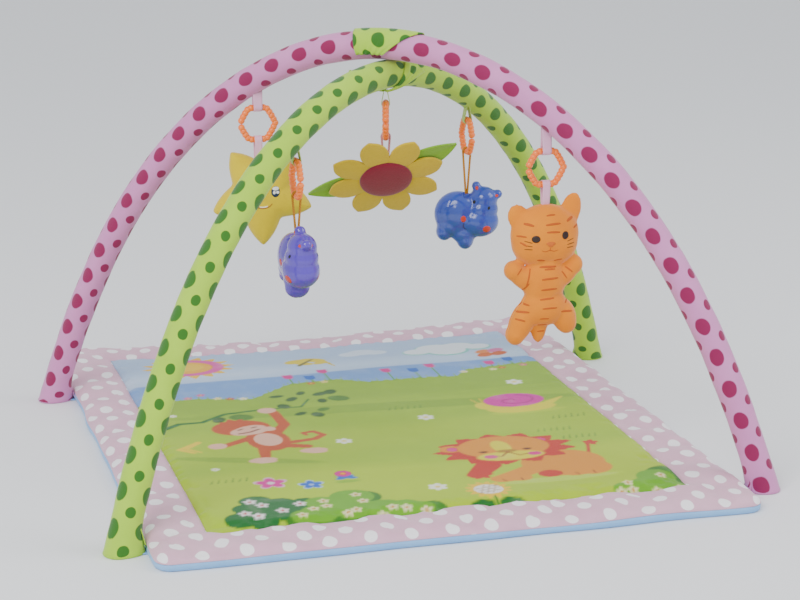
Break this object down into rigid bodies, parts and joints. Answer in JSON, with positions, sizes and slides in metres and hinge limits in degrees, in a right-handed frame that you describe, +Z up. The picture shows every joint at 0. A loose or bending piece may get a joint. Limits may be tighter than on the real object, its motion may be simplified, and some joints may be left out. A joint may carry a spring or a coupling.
{
  "type": "activity play gym",
  "caption": "Padded floor mat with two crossed fabric-covered arches that carry soft and rattling toys on open rings.",
  "frame": {"origin": "on the floor, under the centre of the footprint", "axes": "+Z up, +Y to the back of the mat, +X to the right seen from the front"},
  "size_m": [0.8602, 0.92, 0.5616],
  "materials": {
    "backing_cloth": "plain weave light blue cloth",
    "batting": "loose white polyester wadding",
    "printed_panel": "printed cloth with a meadow scene",
    "spotted_pink_cloth": "dusty pink cloth with white spots",
    "pink_sleeve_cloth": "lilac pink cloth with magenta spots",
    "lime_sleeve_cloth": "lime cloth with green spots",
    "foam": "white closed-cell foam",
    "rod_plastic": "white flexible plastic",
    "orange_ring": "beaded orange plastic",
    "pink_ribbon": "pink woven ribbon and cord",
    "ochre_cord": "braided ochre cord",
    "yellow_plush": "short yellow pile",
    "orange_plush": "short orange pile with darker stripes",
    "yellow_felt": "yellow felt",
    "burgundy_felt": "burgundy felt",
    "green_felt": "green felt",
    "blue_gloss": "moulded glossy blue plastic",
    "violet_gloss": "moulded glossy violet plastic"
  },
  "bodies": {
    "mat": {"mat_backing": "backing_cloth", "mat_batting": "batting", "mat_panel": "printed_panel", "mat_border_front": "spotted_pink_cloth", "mat_border_back": "spotted_pink_cloth", "mat_border_left": "spotted_pink_cloth", "mat_border_right": "spotted_pink_cloth", "mat_tab_front_left": "backing_cloth", "mat_tab_front_right": "backing_cloth", "mat_tab_back_left": "backing_cloth", "mat_tab_back_right": "backing_cloth"},
    "pink_arch": {"pink_sleeve": "pink_sleeve_cloth", "pink_foam": "foam", "pink_rod_left": "rod_plastic", "pink_rod_right": "rod_plastic", "pink_ferrule": "rod_plastic", "pink_tongue_front_right": "pink_sleeve_cloth", "pink_tongue_back_left": "pink_sleeve_cloth", "star_strap": "pink_sleeve_cloth", "tiger_strap": "pink_sleeve_cloth", "apex_band": "lime_sleeve_cloth"},
    "green_arch": {"green_sleeve": "lime_sleeve_cloth", "green_foam": "foam", "green_rod_left": "rod_plastic", "green_rod_right": "rod_plastic", "green_ferrule": "rod_plastic", "green_tongue_front_left": "lime_sleeve_cloth", "green_tongue_back_right": "lime_sleeve_cloth", "violet_hippo_strap": "lime_sleeve_cloth", "blue_hippo_strap": "lime_sleeve_cloth", "flower_strap": "lime_sleeve_cloth"},
    "star_ring": {"star_ring": "orange_ring"},
    "star": {"star_ribbon": "pink_ribbon", "star_front": "yellow_plush", "star_back": "yellow_plush", "star_filling": "batting"},
    "tiger_ring": {"tiger_ring": "orange_ring"},
    "tiger": {"tiger_ribbon": "pink_ribbon", "tiger_front": "orange_plush", "tiger_back": "orange_plush", "tiger_filling": "batting", "tiger_ear_left": "orange_plush", "tiger_ear_right": "orange_plush", "tiger_tail": "orange_plush"},
    "violet_hippo_ring": {"violet_hippo_ring": "orange_ring"},
    "violet_hippo": {"violet_hippo_cord": "ochre_cord", "violet_hippo_shell_left": "violet_gloss", "violet_hippo_shell_right": "violet_gloss"},
    "blue_hippo_ring": {"blue_hippo_ring": "orange_ring"},
    "blue_hippo": {"blue_hippo_cord": "ochre_cord", "blue_hippo_shell_left": "blue_gloss", "blue_hippo_shell_right": "blue_gloss"},
    "flower_ring": {"flower_ring": "orange_ring"},
    "flower": {"flower_cord": "pink_ribbon", "flower_petals": "yellow_felt", "flower_disc": "burgundy_felt", "flower_leaf_left": "green_felt", "flower_leaf_right": "green_felt"}
  },
  "joints": [
    {"name": "arches_lift", "type": "slide", "parent": "mat", "child": "pink_arch", "axis": [0, 0, 1], "range_m": [0, 0.15]},
    {"name": "arches_scissor", "type": "hinge", "parent": "pink_arch", "child": "green_arch", "pos_m": [0, -0.068, 0.5025], "axis": [0, 0, 1], "range_deg": [-25, 0]},
    {"name": "star_ring_swing", "type": "hinge", "parent": "pink_arch", "child": "star_ring", "pos_m": [-0.14667, 0.04467, 0.4475], "axis": [1, 0, 0], "range_deg": [-12, 12]},
    {"name": "star_sway", "type": "hinge", "parent": "star_ring", "child": "star", "pos_m": [-0.14667, 0.04467, 0.4257], "axis": [0, 1, 0], "range_deg": [-12, 12]},
    {"name": "tiger_ring_swing", "type": "hinge", "parent": "pink_arch", "child": "tiger_ring", "pos_m": [0.17469, -0.2022, 0.4172], "axis": [1, 0, 0], "range_deg": [-12, 12]},
    {"name": "tiger_sway", "type": "hinge", "parent": "tiger_ring", "child": "tiger", "pos_m": [0.17469, -0.2022, 0.3954], "axis": [0, 1, 0], "range_deg": [-12, 12]},
    {"name": "violet_hippo_ring_swing", "type": "hinge", "parent": "green_arch", "child": "violet_hippo_ring", "pos_m": [-0.14667, -0.18067, 0.4163], "axis": [0, 1, 0], "range_deg": [-12, 12]},
    {"name": "violet_hippo_sway", "type": "hinge", "parent": "violet_hippo_ring", "child": "violet_hippo", "pos_m": [-0.14667, -0.18067, 0.3945], "axis": [-1, 0, 0], "range_deg": [-12, 12]},
    {"name": "blue_hippo_ring_swing", "type": "hinge", "parent": "green_arch", "child": "blue_hippo_ring", "pos_m": [0.14708, 0.04499, 0.4163], "axis": [0, 1, 0], "range_deg": [-12, 12]},
    {"name": "blue_hippo_sway", "type": "hinge", "parent": "blue_hippo_ring", "child": "blue_hippo", "pos_m": [0.14708, 0.04499, 0.3945], "axis": [-1, 0, 0], "range_deg": [-12, 12]},
    {"name": "flower_ring_swing", "type": "hinge", "parent": "green_arch", "child": "flower_ring", "pos_m": [0, -0.068, 0.4642], "axis": [0.2723, 0.9622, 0], "range_deg": [-12, 12]},
    {"name": "flower_sway", "type": "hinge", "parent": "flower_ring", "child": "flower", "pos_m": [0, -0.068, 0.4424], "axis": [-0.9622, 0.2723, 0], "range_deg": [-12, 12]}
  ]
}
